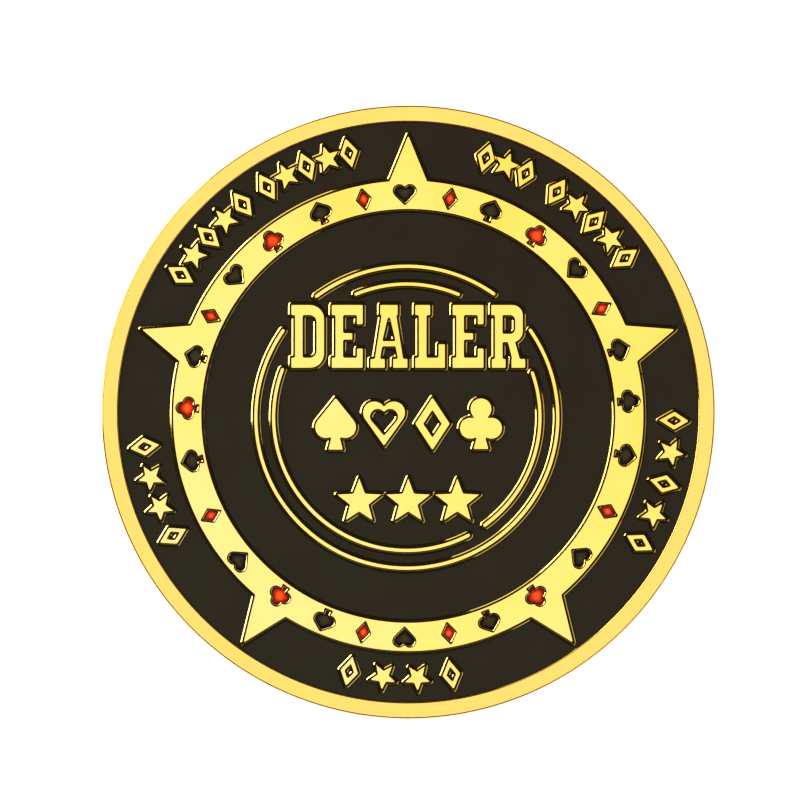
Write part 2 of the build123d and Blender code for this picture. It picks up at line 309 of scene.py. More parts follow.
def capital(letter):
    """A slab-serif capital as (polygons, enclosed space or None, width)."""
    top, slab = LETTER_HEIGHT, LETTER_SLAB
    left, right = SERIF_OVERHANG, SERIF_OVERHANG + LETTER_STEM
    if letter == "D":
        width = 2.75
        solid = [rounded_right(left, 0, width, top, 1.2), rectangle(0, 0, 1, slab),
                 rectangle(0, top - slab, 1, top)]
        return solid, rounded_right(right, slab, width - LETTER_STEM, top - slab, 0.5), width
    if letter == "E":
        width, beak = 2.6, 0.55
        solid = [rectangle(left, 0, right, top), rectangle(0, 0, width, slab),
                 rectangle(0, top - slab, width, top), rectangle(width - beak, 0, width, slab + 0.75),
                 rectangle(width - beak, top - slab - 0.75, width, top),
                 rectangle(left, top / 2 - 0.3, width - 0.85, top / 2 + 0.3)]
        return solid, None, width
    if letter == "L":
        width, beak = 2.5, 0.6
        solid = [rectangle(left, 0, right, top), rectangle(0, top - slab, right + left, top),
                 rectangle(0, 0, width, slab), rectangle(width - beak, 0, width, slab + 1.1)]
        return solid, None, width
    if letter == "A":
        width, foot = 3.1, 1.25
        half = width / 2
        legs = [(0.3, 0.4), (0.8, 0.4), (half, top - 0.5), (width - 0.8, 0.4), (width - 0.3, 0.4),
                (half + 0.5, top), (half - 0.5, top)]
        solid = [rectangle(0, 0, foot, 0.8), rectangle(width - foot, 0, width, 0.8), legs,
                 [(0.8, 1.75), (width - 0.8, 1.75), (half, top - 0.5)],
                 rectangle(half - 0.75, top - slab, half + 0.75, top)]
        space = [(1.06, 2.25), (width - 1.06, 2.25), (half + 0.06, 4.1), (half - 0.06, 4.1)]
        return solid, space, width
    width, bowl_right, bowl_bottom = 2.85, 2.65, 2.1
    solid = [rounded_right(left, bowl_bottom, bowl_right, top, 0.9), rectangle(0, top - slab, 1, top),
             rectangle(left, 0, right, top), rectangle(0.05, 0, 1.25, 0.8),
             rectangle(width - 1.2, 0, width, 0.8),
             [(1.3, bowl_bottom + 0.3), (1.95, bowl_bottom + 0.3), (2.5, 0.4), (1.8, 0.4)]]
    return solid, rounded_right(right, 2.85, bowl_right - LETTER_STEM, top - slab, 0.35), width


def design_face():
    """The whole design: its signed distances, and how deep in a pip each place lies, 0 to 1."""
    face = Face()
    for start, end in OUTER_ARCS:
        face.raise_arc(OUTER_ARC_RADIUS, start, end)
    for start, end in INNER_ARCS:
        face.raise_arc(INNER_ARC_RADIUS, start, end)

    capitals = [capital(letter) for letter in WORD]
    pen_x = -(sum(width for _, _, width in capitals) + LETTER_GAP * (len(WORD) - 1)) / 2
    for polygons, space, width in capitals:
        place = (pen_x, LETTER_ROW_Y - LETTER_HEIGHT / 2, 0, LETTER_HEIGHT + MARGIN)
        face.raise_shape((polygons, []), place, None if space is None else ([space], []))
        pen_x += width + LETTER_GAP

    for i, kind in enumerate(SUIT_ROW):
        place = ((i - 1.5) * SUIT_ROW_PITCH, SUIT_ROW_Y, 0, 2.5 + MARGIN)
        space, lift = None, 0.0
        if kind == "heart":
            space, lift = suit("heart", *HEART_SPACE_SIZE), HEART_SPACE_LIFT
        elif kind == "diamond":
            space = suit("diamond", *narrowed(SUIT_ROW_SIZES["diamond"], SUIT_ROW_LINE))
        face.raise_shape(suit(kind, *SUIT_ROW_SIZES[kind]), place, space, lift)
    for i in (-1, 0, 1):
        place = (i * STAR_ROW_PITCH, STAR_ROW_Y, 0, STAR_ROW_RADIUS + MARGIN)
        face.raise_shape(star(STAR_ROW_RADIUS), place)

    half_width = BAND_OUTER_RADIUS * math.sin(math.radians(STAR_POINT_HALF_ANGLE))
    shoulder = BAND_OUTER_RADIUS * math.cos(math.radians(STAR_POINT_HALF_ANGLE))
    base = (BAND_OUTER_RADIUS + CENTRE_POOL_RADIUS) / 2
    base_half = half_width * (STAR_TIP_RADIUS - base) / (STAR_TIP_RADIUS - shoulder)
    point = [(0, STAR_TIP_RADIUS), (base_half, base), (-base_half, base)]
    for i in range(STAR_POINTS):
        place = around(0, i * 360 / STAR_POINTS, OUTER_POOL_RADIUS + MARGIN, BAND_CENTRE)
        face.raise_shape(([point], []), place)

    for start, end, count in ORNAMENT_GROUPS:
        for i in range(count):
            place = around(ORNAMENT_RADIUS, start + (i + 0.5) * (end - start) / count, 1.5 + MARGIN)
            if min(i, count - 1 - i) % 2 == 0:
                face.raise_shape(suit("diamond", *LOZENGE_SIZE), place,
                                 suit("diamond", *narrowed(LOZENGE_SIZE, LOZENGE_LINE)))
            else:
                face.raise_shape(star(ORNAMENT_STAR_RADIUS), place)

    for kind, angle in PIPS:
        face.sink_shape(suit(kind, *PIP_SIZES[kind]), around(base, angle, 1.2, BAND_CENTRE))
    design = redistanced(face.metal)
    design *= np.where(design > 0, 1 + (PIP_STEEPNESS - 1) * face.pips, 1)
    from_rim = OUTER_POOL_RADIUS - np.hypot(GRID_X, GRID_Y)
    from_rim *= np.where(from_rim > 0, RIM_STEEPNESS, 1)
    return np.minimum(design, from_rim), blurred(face.pips, PIP_GLOW_REACH)


def redistanced(field):
    """The field with the same outlines and the exact distance from the nearest of them on both sides."""
    nearest = np.full(field.shape, DISTANCE_REACH)
    for loop in contour(field, 0.0):
        loop = thinned(loop, OUTLINE_ERROR / 4)
        for start, end in zip(loop, np.roll(loop, -1, axis=0)):
            low, high = np.minimum(start, end) - DISTANCE_REACH, np.maximum(start, end) + DISTANCE_REACH
            rows, columns = (slice(*np.searchsorted(AXIS, (low[axis], high[axis]))) for axis in (0, 1))
            dx, dy = AXIS[rows, None] - start[0], AXIS[None, columns] - start[1]
            ex, ey = end - start
            along = np.clip((dx * ex + dy * ey) / (ex * ex + ey * ey), 0, 1)
            away = np.hypot(dx - along * ex, dy - along * ey)
            nearest[rows, columns] = np.minimum(nearest[rows, columns], away)
    return blurred(np.where(field < 0, -nearest, nearest), CORNER_SOFTNESS)


def blurred(grid, reach):
    """The grid after a Gaussian blur, whose standard deviation is the reach in millimetres."""
    frequency = np.fft.fftfreq(GRID_COUNT, GRID_STEP)
    fade = np.exp(-2 * (math.pi * reach * frequency) ** 2)
    return np.real(np.fft.ifft2(np.fft.fft2(grid) * fade[:, None] * fade[None, :]))


# ---- From distances to outlines and meshes ---------------------------------------------------------------


def contour(field, level):
    """Closed loops of points where the field crosses the level, by marching squares."""
    f = field - level
    f = np.where(f == 0, 1e-9, f)
    inside = f < 0
    n = GRID_COUNT
    edge_point = {}

    cut = inside[:-1, :] != inside[1:, :]
    i, j = np.nonzero(cut)
    t = f[i, j] / (f[i, j] - f[i + 1, j])
    for key, px, py in zip((i * n + j) * 2, AXIS[i] + t * GRID_STEP, AXIS[j]):
        edge_point[key] = (px, py)
    cut = inside[:, :-1] != inside[:, 1:]
    i, j = np.nonzero(cut)
    t = f[i, j] / (f[i, j] - f[i, j + 1])
    for key, px, py in zip((i * n + j) * 2 + 1, AXIS[i], AXIS[j] + t * GRID_STEP):
        edge_point[key] = (px, py)

    follow = {}
    a, b, c, d = inside[:-1, :-1], inside[1:, :-1], inside[1:, 1:], inside[:-1, 1:]
    code = a * 1 + b * 2 + c * 4 + d * 8
    centre = (f[:-1, :-1] + f[1:, :-1] + f[1:, 1:] + f[:-1, 1:]) < 0
    south, east, north, west = 0, 1, 2, 3
    paths = {1: [(west, south)], 2: [(south, east)], 3: [(west, east)], 4: [(east, north)],
             6: [(south, north)], 7: [(west, north)], 8: [(north, west)], 9: [(north, south)],
             11: [(north, east)], 12: [(east, west)], 13: [(east, south)], 14: [(south, west)]}
    for i, j in zip(*np.nonzero((code > 0) & (code < 15))):
        keys = ((i * n + j) * 2, ((i + 1) * n + j) * 2 + 1, (i * n + j + 1) * 2, (i * n + j) * 2 + 1)
        kind = code[i, j]
        if kind == 5:
            steps = [(west, north), (east, south)] if centre[i, j] else [(west, south), (east, north)]
        elif kind == 10:
            steps = [(south, west), (north, east)] if centre[i, j] else [(south, east), (north, west)]
        else:
            steps = paths[kind]
        for start, end in steps:
            follow[keys[start]] = keys[end]

    loops = []
    while follow:
        first, key = follow.popitem()
        loop = [first]
        while key != first:
            loop.append(key)
            key = follow.pop(key)
        loops.append(np.array([edge_point[k] for k in loop]))
    return loops


def thinned(loop, error):
    """The loop with only as many points as keep it within the error, by repeated halving."""
    count = len(loop)
    far = int(np.argmax(np.hypot(*(loop - loop[0]).T)))
    points = np.vstack([loop, loop[:1]])
    keep = {0, far}
    spans = [(0, far), (far, count)]
    while spans:
        start, end = spans.pop()
        if end - start < 2:
            continue
        middle = points[start + 1:end]
        chord = points[end] - points[start]
        length = math.hypot(*chord)
        offset = middle - points[start]
        away = np.abs(offset[:, 0] * chord[1] - offset[:, 1] * chord[0]) / max(length, 1e-9)
        worst = int(np.argmax(away))
        if away[worst] > error:
            keep.add(start + 1 + worst)
            spans += [(start, start + 1 + worst), (start + 1 + worst, end)]
    return loop[sorted(keep)]


def sampled(grid, points):
    """The grid's values at points, by bilinear interpolation."""
    u = np.clip((points - AXIS[0]) / GRID_STEP, 0, GRID_COUNT - 1.001)
    i, j = u.astype(int).T
    s, t = (u - u.astype(int)).T
    low = grid[i, j] * (1 - t) + grid[i, j + 1] * t
    high = grid[i + 1, j] * (1 - t) + grid[i + 1, j + 1] * t
    return low * (1 - s) + high * s


def triangulate(rings):
    """Triangles between closed rings: points, the ring level of each, triangles and the ring edges."""
    points, levels, edges = [], [], []
    for level, loop in rings:
        first, count = len(points), len(loop)
        points += [Vector(p) for p in loop]
        levels += [level] * count
        edges += [(first + i, first + (i + 1) % count) for i in range(count)]
    found, _, triangles, origin, _, _ = delaunay_2d_cdt(points, edges, [], 0, 1e-7, True)
    source = np.array([o[0] for o in origin])
    renamed = {old: new for new, olds in enumerate(origin) for old in olds}
    ring_edges = {}
    for a, b in edges:
        ring_edges[min(renamed[a], renamed[b]), max(renamed[a], renamed[b])] = levels[a]
    return np.array([tuple(p) for p in found]), np.array(levels)[source], np.array(triangles), ring_edges


def regions(triangles, walls):
    """The number of the region that each triangle is in; walls are the edges that part the regions."""
    beside = {}
    near = [[] for _ in triangles]
    for t, (a, b, c) in enumerate(triangles.tolist()):
        for edge in ((a, b), (b, c), (c, a)):
            edge = (min(edge), max(edge))
            if edge in walls:
                continue
            other = beside.pop(edge, None)
            if other is None:
                beside[edge] = t
            else:
                near[t].append(other)
                near[other].append(t)
    number = np.full(len(triangles), -1)
    count = 0
    for t in range(len(triangles)):
        if number[t] >= 0:
            continue
        number[t] = count
        waiting = [t]
        while waiting:
            for other in near[waiting.pop()]:
                if number[other] < 0:
                    number[other] = count
                    waiting.append(other)
        count += 1
    return number, count


def gradient(grid, points, step=GRID_STEP):
    """How fast the grid's value changes along x and y at points."""
    along_x, along_y = np.gradient(grid, step)
    return np.column_stack([sampled(along_x, points), sampled(along_y, points)])


def outwards(field, points):
    """The flat direction away from the metal at points."""
    slope = gradient(field, points)
    return slope / np.maximum(np.hypot(*slope.T), 1e-6)[:, None]


def tilted(directions, tilt):
    """Unit normals that lean by the tilt, in radians, towards the flat directions."""
    sine = np.sin(tilt)
    return np.column_stack([directions[:, 0] * sine, directions[:, 1] * sine, np.cos(tilt)])


def flat_top(points):
    """The height of the metal's flat top by each point: the rim stands a little above the design."""
    away = np.hypot(points[:, 0], points[:, 1])
    return np.where(away > OUTER_POOL_RADIUS - 0.1, THICKNESS, THICKNESS - RELIEF_STEP)


def wall_height(levels, tops):
    """The height of the metal's surface at each wall level."""
    heights = tops
    for level, depth in WALL + [(CONTACT, CONTACT_DEPTH)]:
        heights = np.where(np.isclose(levels, level), tops - depth, heights)
    return np.where(levels > CONTACT + SAME_LEVEL, ENAMEL_FLOOR, heights)


def wall_tilts():
    """The lean of the metal's surface at each wall level: halfway between the slopes on both sides."""
    slopes = [math.atan2(depth - last, level - last_level)
              for (last_level, last), (level, depth) in zip(WALL, WALL[1:])]
    tilts = [0.0] + [(a + b) / 2 for a, b in zip(slopes, slopes[1:])] + [slopes[-1]]
    return dict(zip([level for level, _ in WALL] + [CONTACT], tilts + [slopes[-1]]))


def new_object(name, points, faces, normals, material):
    """A smooth-shaded mesh object from millimetre points, with the normal given for each point."""
    mesh = bpy.data.meshes.new(name)
    mesh.from_pydata((np.asarray(points) * MM).tolist(), [], faces)
    mesh.polygons.foreach_set("use_smooth", np.ones(len(mesh.polygons), bool))
    mesh.update()
    mesh.normals_split_custom_set_from_vertices(np.asarray(normals).tolist())
    mesh.materials.append(material)
    made = bpy.data.objects.new(name, mesh)
    bpy.context.scene.collection.objects.link(made)
    return made


def turned_over(vectors, about=0.0):
    """Points or directions of the front, turned half a turn about the Y axis for the back."""
    return vectors * (-1, 1, -1) + (0, 0, 2 * about)


def metal_body(field, material):
    """The struck body: both faces with their relief, and the rounded edge between them."""
    flat_radius = RADIUS - EDGE_ROUNDING
    angles = 2 * math.pi * np.arange(RIM_SEGMENTS) / RIM_SEGMENTS
    circle = np.column_stack([np.cos(angles), np.sin(angles)])
    levels = [level for level, _ in WALL] + [CONTACT, FOOT]
    rings = [(level, thinned(loop, OUTLINE_ERROR)) for level in levels for loop in contour(field, level)]
    rings.append((RIM_LEVEL, circle * flat_radius))
    flat, levels, triangles, _ = triangulate(rings)
    heights = wall_height(levels, flat_top(flat))
    leaning = np.zeros(len(flat))
    for level, tilt in wall_tilts().items():
        leaning[np.isclose(levels, level)] = tilt
    front = np.column_stack([flat, heights])
    steepness = np.clip(np.hypot(*gradient(field, flat).T), 1, RIM_STEEPNESS)
    front_normals = tilted(outwards(field, flat), np.arctan(np.tan(leaning) * steepness))

    points = [front, turned_over(front, THICKNESS / 2)]
    normals = [front_normals, turned_over(front_normals)]
    count = len(front)
    faces = triangles.tolist() + (triangles + count).tolist()

    rim = np.nonzero(levels == RIM_LEVEL)[0]
    top_ring = in_turn(rim, front)
    bottom_ring = in_turn(rim, points[1]) + count
    last = top_ring
    first_new = 2 * count
    lean_angles = [math.pi / 2 * k / EDGE_STEPS for k in range(1, EDGE_STEPS + 1)]
    profile = [(a, THICKNESS - EDGE_ROUNDING) for a in lean_angles]
    profile += [(math.pi - a, EDGE_ROUNDING) for a in reversed(lean_angles)]
    for lean, centre_height in profile:
        radius = flat_radius + EDGE_ROUNDING * math.sin(lean)
        height = np.full(RIM_SEGMENTS, centre_height + EDGE_ROUNDING * math.cos(lean))
        points.append(np.column_stack([circle * radius, height]))
        normals.append(tilted(circle, np.full(RIM_SEGMENTS, lean)))
        ring = np.arange(first_new, first_new + RIM_SEGMENTS)
        faces += strip(last, ring)
        last = ring
        first_new += RIM_SEGMENTS
    faces += strip(last, bottom_ring)
    return new_object("struck_body_relief", np.vstack(points), faces, np.vstack(normals), material)


def in_turn(rim, points):
    """The rim's points in order round the circle, starting on the x axis."""
    turns = np.arctan2(points[rim, 1], points[rim, 0]) / (2 * math.pi) * RIM_SEGMENTS
    ring = np.empty(RIM_SEGMENTS, int)
    ring[np.rint(turns).astype(int) % RIM_SEGMENTS] = rim
    return ring


def strip(upper, lower):
    """Four-sided faces between two rings of as many points, seen from outside."""
    following = np.roll(np.arange(len(upper)), -1)
    return np.column_stack([upper, lower, lower[following], upper[following]]).tolist()


def enamel_pools(field, glow):
    """Every pool of one face: its points, normals, faces and how deep in its pip each point lies."""
    rings = [(level, thinned(loop, OUTLINE_ERROR))
             for level in [CONTACT] + POOL_LEVELS for loop in contour(field, level)]
    flat, levels, triangles, ring_edges = triangulate(rings)
    edges = {edge for edge, level in ring_edges.items() if level == CONTACT}
    number, count = regions(triangles, edges)
    corners = flat[triangles]
    sides = corners[:, 1:] - corners[:, :1]
    areas = np.abs(sides[:, 0, 0] * sides[:, 1, 1] - sides[:, 0, 1] * sides[:, 1, 0]) / 2
    inside = sampled(field, corners.mean(axis=1)) > CONTACT

    deep = np.clip(sampled(glow, flat), 0, 1)
    edge_dome = PIP_DOME * deep * np.isclose(levels, CONTACT)
    edge_height = flat_top(flat) - CONTACT_DEPTH - ENAMEL_LEVEL - edge_dome
    climb = edge_height * np.exp(-(levels - CONTACT) / CLIMB_REACH)
    upper = ENAMEL_LEVEL + climb + PIP_DOME * deep
    slope = outwards(field, flat) * (-climb / CLIMB_REACH)[:, None] + PIP_DOME * gradient(glow, flat)
    upper_normals = np.column_stack([-slope, np.ones(len(flat))])
    upper_normals /= np.linalg.norm(upper_normals, axis=1)[:, None]
    # Where a corner is too narrow for any enamel, the triangle's corners all lie on the contact line.
    has_depth = (levels[triangles] > CONTACT + SAME_LEVEL).any(axis=1)
    pools = []
    for region in range(count):
        chosen = number == region
        if areas[chosen & inside].sum() < areas[chosen].sum() / 2:
            continue
        faces = triangles[chosen & has_depth]
        used = np.unique(faces)
        place = np.zeros(len(flat), int)
        place[used] = np.arange(len(used))
        under = np.nonzero(levels[used] > CONTACT + SAME_LEVEL)[0]
        under_place = np.arange(len(used))
        under_place[under] = len(used) + np.arange(len(under))
        top_faces = place[faces]
        bottom_faces = under_place[top_faces][:, ::-1]
        top_points = np.column_stack([flat[used], upper[used]])
        low_points = np.column_stack([flat[used[under]], np.full(len(under), ENAMEL_FLOOR)])
        low_normals = np.tile((0.0, 0.0, -1.0), (len(under), 1))
        pools.append({
            "points": np.vstack([top_points, low_points]),
            "normals": np.vstack([upper_normals[used], low_normals]),
            "faces": top_faces.tolist() + bottom_faces.tolist(),
            "deep": deep[np.concatenate([used, used[under]])] / max(deep[used].max(), LEAST_PIP_DEPTH),
        })
    return pools


def pool_node(pool):
    """The CAD node on the front that this pool stands for."""
    low, high = pool["points"].min(axis=0), pool["points"].max(axis=0)
    middle = (low + high) / 2
    if high[0] - low[0] > 2 * CENTRE_POOL_RADIUS:
        return "front_outer_field_enamel"
    if high[0] - low[0] > CENTRE_POOL_RADIUS:
        return "front_centre_field_enamel"
    away = math.hypot(middle[0], middle[1])
    if away < CENTRE_POOL_RADIUS:
        return "front_lettering_counter_enamel"
    if away > BAND_OUTER_RADIUS:
        return "front_ornament_counter_enamel"

    def distance(node):
        node_middle = (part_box(node)[0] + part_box(node)[1]) / 2 / MM
        return math.hypot(node_middle.x - middle[0], node_middle.y - middle[1])

    return min((node for node in frame["nodes"] if node.startswith("front_pip_")), key=distance)


def back_node(front_node):
    """The CAD node on the back that holds the same pool as this one on the front."""
    if not front_node.startswith("front_pip_"):
        return front_node.replace("front_", "back_")
    if front_node == BLACK_CLUB_NODE:
        return "back_black_club_pip"
    return f"back_{front_node.split('_')[-1]}_pips"


# ---- Materials -------------------------------------------------------------------------------------------


class Nodes:
    """A material's node tree, with its surface shader."""

    def __init__(self, name):
        self.material = bpy.data.materials.new(name)
        self.material.use_nodes = True
        self.tree = self.material.node_tree
        self.shader = self.tree.nodes["Principled BSDF"]
        self.place = self.add("ShaderNodeTexCoord").outputs["Object"]

    def add(self, kind, **settings):
        node = self.tree.nodes.new(kind)
        for key, value in settings.items():
            setattr(node, key, value)
        return node

    def link(self, source, target):
        self.tree.links.new(source, target)

    def stretched(self, per_mm, turn=0.0):
        """Coordinates with the given number of units per millimetre along x, y and z, turned about z."""
        mapping = self.add("ShaderNodeMapping")
        mapping.inputs["Rotation"].default_value = (0, 0, math.radians(turn))
        mapping.inputs["Scale"].default_value = [n / MM for n in per_mm]
        self.link(self.place, mapping.inputs["Vector"])
        return mapping.outputs["Vector"]

    def noise(self, vector, detail=2.0, roughness=0.5):
        node = self.add("ShaderNodeTexNoise")
        node.inputs["Scale"].default_value = 1.0
        node.inputs["Detail"].default_value = detail
        node.inputs["Roughness"].default_value = roughness
        self.link(vector, node.inputs["Vector"])
        return node.outputs["Fac"]

    def spread(self, value, low, high, to_low, to_high):
        """The value's range low to high, stretched over to_low to to_high."""
        node = self.add("ShaderNodeMapRange")
        for key, number in (("From Min", low), ("From Max", high), ("To Min", to_low), ("To Max", to_high)):
            node.inputs[key].default_value = number
        self.link(value, node.inputs["Value"])
        return node.outputs["Result"]

    def maths(self, operation, first, second):
        node = self.add("ShaderNodeMath", operation=operation)
        for socket, value in zip(node.inputs, (first, second)):
            if isinstance(value, (int, float)):
                socket.default_value = value
            else:
                self.link(value, socket)
        return node.outputs["Value"]

    def ramp(self, value, stops):
        node = self.add("ShaderNodeValToRGB")
        elements = node.color_ramp.elements
        while len(elements) < len(stops):
            elements.new(0.5)
        for element, (position, colour) in zip(elements, stops):
            element.position = position
            element.color = (*colour, 1)
        self.link(value, node.inputs["Fac"])
        return node.outputs["Color"]

    def towards(self, azimuth):
        """How far a place lies towards this azimuth, clockwise from the top: -1 to 1 across the button."""
        turn = math.radians(azimuth)
        product = self.add("ShaderNodeVectorMath", operation="DOT_PRODUCT")
        self.link(self.place, product.inputs[0])
        product.inputs[1].default_value = (math.sin(turn) / (RADIUS * MM), math.cos(turn) / (RADIUS * MM), 0)
        return product.outputs["Value"]

    def mixed(self, share, first, second):
        """The first colour where the share is 0, the second where it is 1."""
        node = self.add("ShaderNodeMix", data_type="RGBA")
        for name, source in (("Factor", share), ("A", first), ("B", second)):
            socket = next(s for s in node.inputs if s.name == name and s.enabled)
            self.link(source, socket)
        return next(s for s in node.outputs if s.enabled)

    def bump(self, height, distance_mm, strength=1.0):
        node = self.add("ShaderNodeBump")
        node.inputs["Strength"].default_value = strength
        node.inputs["Distance"].default_value = distance_mm * MM
        self.link(height, node.inputs["Height"])
        self.link(node.outputs["Normal"], self.shader.inputs["Normal"])


def gold_plating():
    """Polished gold plate: an uneven yellow, deeper on the rim, painted deeper towards the top right as
    painted shade, with faint polishing lines and a ripple.
    """
    m = Nodes("gold_plating")
    m.shader.inputs["Metallic"].default_value = 1.0
    apart = m.add("ShaderNodeSeparateXYZ")
    m.link(m.place, apart.inputs["Vector"])
    squares = [m.maths("MULTIPLY", apart.outputs[axis], apart.outputs[axis]) for axis in ("X", "Y")]
    away = m.maths("POWER", m.maths("ADD", *squares), 0.5)
    on_rim = m.spread(away, 23.5 * MM, 23.7 * MM, 0.0, 1.0)
    broad = m.noise(m.stretched((0.16, 0.16, 0.16)), detail=3.0)
    # Painted shade: the yellow is painted deeper towards the top right of the button.
    painted_shade_slant = m.spread(m.towards(45), -0.8, 0.8, 0.1, 0.7)
    tone = m.maths("ADD", painted_shade_slant, m.spread(broad, 0.3, 0.7, -0.15, 0.25))
    inside = m.ramp(tone, [(0.0, (1.0, 0.71, 0.235)), (0.5, (1.0, 0.685, 0.155)),
                           (1.0, (0.99, 0.615, 0.085))])
    rim = m.ramp(broad, [(0.3, (0.99, 0.605, 0.137)), (0.7, (0.97, 0.59, 0.132))])
    m.link(m.mixed(on_rim, inside, rim), m.shader.inputs["Base Color"])
    cloudy = m.noise(m.stretched((1.6, 1.6, 1.6)), detail=4.0)
    lines = m.noise(m.stretched((0.5, 22.0, 0.5), turn=24), detail=1.0)
    cross_lines = m.noise(m.stretched((0.6, 17.0, 0.6), turn=-58), detail=1.0)
    scratches = m.maths("ADD", lines, cross_lines)
    scratched = m.spread(scratches, 0.8, 1.2, 0.04, 0.08)
    wear = m.maths("ADD", m.spread(cloudy, 0.3, 0.7, 0.0, 0.03), scratched)
    m.link(wear, m.shader.inputs["Roughness"])
    ripple = m.noise(m.stretched((0.9, 0.9, 0.9)), detail=2.0)
    height = m.maths("ADD", m.maths("MULTIPLY", ripple, 6.0), m.maths("MULTIPLY", scratches, 0.35))
    m.bump(height, 0.0011)
    return m.material


def black_enamel():
    """Glossy near-black enamel with a faint flow in its surface and tiny specks of dust under the gloss;
    painted shade darkens it towards the top right, and the pips get a painted highlight in the middle and
    painted shade by the walls.
    """
    m = Nodes("black_enamel")
    flow = m.noise(m.stretched((0.25, 0.25, 0.25)), detail=3.0)
    specks = m.noise(m.stretched((14.0, 14.0, 14.0)), detail=1.0)
    # Painted shade: the enamel is painted darker and redder towards the top right of the button.
    painted_shade_slant = m.spread(m.towards(35), -1.0, 1.0, 0.0, 0.55)
    tone = m.maths("ADD", painted_shade_slant, m.spread(flow, 0.3, 0.7, -0.1, 0.3))
    ground = m.ramp(tone, [(0.0, (0.0126, 0.0101, 0.0028)), (0.7, (0.0116, 0.0062, 0.0016))])
    dusty = m.ramp(specks, [(0.70, (0.0, 0.0, 0.0)), (0.82, (0.014, 0.011, 0.007))])
    deep = m.add("ShaderNodeAttribute", attribute_name="deep").outputs["Fac"]
    # Painted highlight and painted shade: a pip is painted lighter in its middle and nearly black by its
    # walls.
    painted_pip_sheen_and_shade = m.ramp(deep, [(0.80, (0.001, 0.0006, 0.0001)), (0.99, (0.030, 0.018, 0.004))])
    flecked = m.add("ShaderNodeVectorMath", operation="ADD")
    m.link(ground, flecked.inputs[0])
    m.link(dusty, flecked.inputs[1])
    colour = m.mixed(m.spread(deep, 0.35, 0.55, 0.0, 1.0), flecked.outputs["Vector"], painted_pip_sheen_and_shade)
    m.link(colour, m.shader.inputs["Base Color"])
    m.shader.inputs["Specular IOR Level"].default_value = 0.10
    m.link(m.spread(flow, 0.3, 0.7, 0.04, 0.08), m.shader.inputs["Roughness"])
    sag = m.noise(m.stretched((0.55, 0.55, 0.55)), detail=2.0)
    m.bump(m.maths("ADD", m.maths("MULTIPLY", sag, 5.0), m.maths("MULTIPLY", specks, 0.3)), 0.0010)
    return m.material


def red_enamel():
    """Red enamel, painted dark beside the walls as painted shade and orange in the middle of a pip as a
    painted highlight.
    """
    m = Nodes("red_enamel")
    deep = m.add("ShaderNodeAttribute", attribute_name="deep").outputs["Fac"]
    cloud = m.noise(m.stretched((2.2, 2.2, 2.2)), detail=2.0)
    inwards = m.maths("ADD", deep, m.spread(cloud, 0.3, 0.7, -0.03, 0.01))
    # Painted shade and painted highlight: the red is painted nearly black by the walls and bright orange in
    # the middle of a pip.
    colour = m.ramp(inwards, [(0.55, (0.03, 0.001, 0.0005)), (0.73, (0.14, 0.005, 0.001)),
                              (0.87, (0.38, 0.012, 0.001)), (0.95, (0.76, 0.034, 0.003)),
                              (0.99, (1.0, 0.09, 0.005))])
    m.link(colour, m.shader.inputs["Base Color"])
    m.shader.inputs["Specular IOR Level"].default_value = 0.08
    m.link(m.spread(cloud, 0.3, 0.7, 0.04, 0.08), m.shader.inputs["Roughness"])
    m.bump(cloud, 0.002)
    return m.material


def table_top():
    """A matt, pale table with a barely uneven tone."""
    m = Nodes("pale_table")
    uneven = m.noise(m.stretched((0.02, 0.02, 0.02)), detail=3.0)
    tone = m.ramp(uneven, [(0.3, (0.86, 0.86, 0.86)), (0.7, (0.90, 0.90, 0.90))])
    m.link(tone, m.shader.inputs["Base Color"])
    m.shader.inputs["Roughness"].default_value = 0.9
    return m.material


# ---- The button ------------------------------------------------------------------------------------------

BLACK_CLUB_NODE = "front_pip_08_club"
SLOTS = {row["node"]: row["material_slot"] for row in frame["record"]["subparts"]}
MATERIALS = {"gold_plating": gold_plating(), "black_enamel": black_enamel(), "red_enamel": red_enamel()}

field, glow = design_face()

body = metal_body(field, MATERIALS["gold_plating"])
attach(body, "root")
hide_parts("struck_body")

gathered = {}
for pool in enamel_pools(field, glow):
    front_node = pool_node(pool)
    gathered.setdefault(front_node, []).append(pool)
    turned = dict(pool)
    turned["points"] = turned_over(pool["points"], THICKNESS / 2)
    turned["normals"] = turned_over(pool["normals"])
    gathered.setdefault(back_node(front_node), []).append(turned)

for node, pools in gathered.items():
    faces, first = [], 0
    for pool in pools:
        faces += [[corner + first for corner in face] for face in pool["faces"]]
        first += len(pool["points"])
    points = np.vstack([pool["points"] for pool in pools])
    normals = np.vstack([pool["normals"] for pool in pools])
    piece = new_object(f"{node}_pool", points, faces, normals, MATERIALS[SLOTS[node]])
    deep = piece.data.attributes.new("deep", "FLOAT", "POINT")
    deep.data.foreach_set("value", np.concatenate([pool["deep"] for pool in pools]).astype(np.float32))
    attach(piece, "root")
    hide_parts(node)


# ---- Table, lights and camera ----------------------------------------------------------------------------

FLOOR_HALF = 1.5
FLOOR_GAP = 0.02 * MM
floor_corners = rectangle(-FLOOR_HALF, -FLOOR_HALF, FLOOR_HALF, FLOOR_HALF)
floor_mesh = bpy.data.meshes.new("table")
floor_mesh.from_pydata([(x, y, cad_low.z - FLOOR_GAP) for x, y in floor_corners], [], [(0, 1, 2, 3)])
floor_mesh.materials.append(table_top())
floor = bpy.data.objects.new("table", floor_mesh)
bpy.context.scene.collection.objects.link(floor)


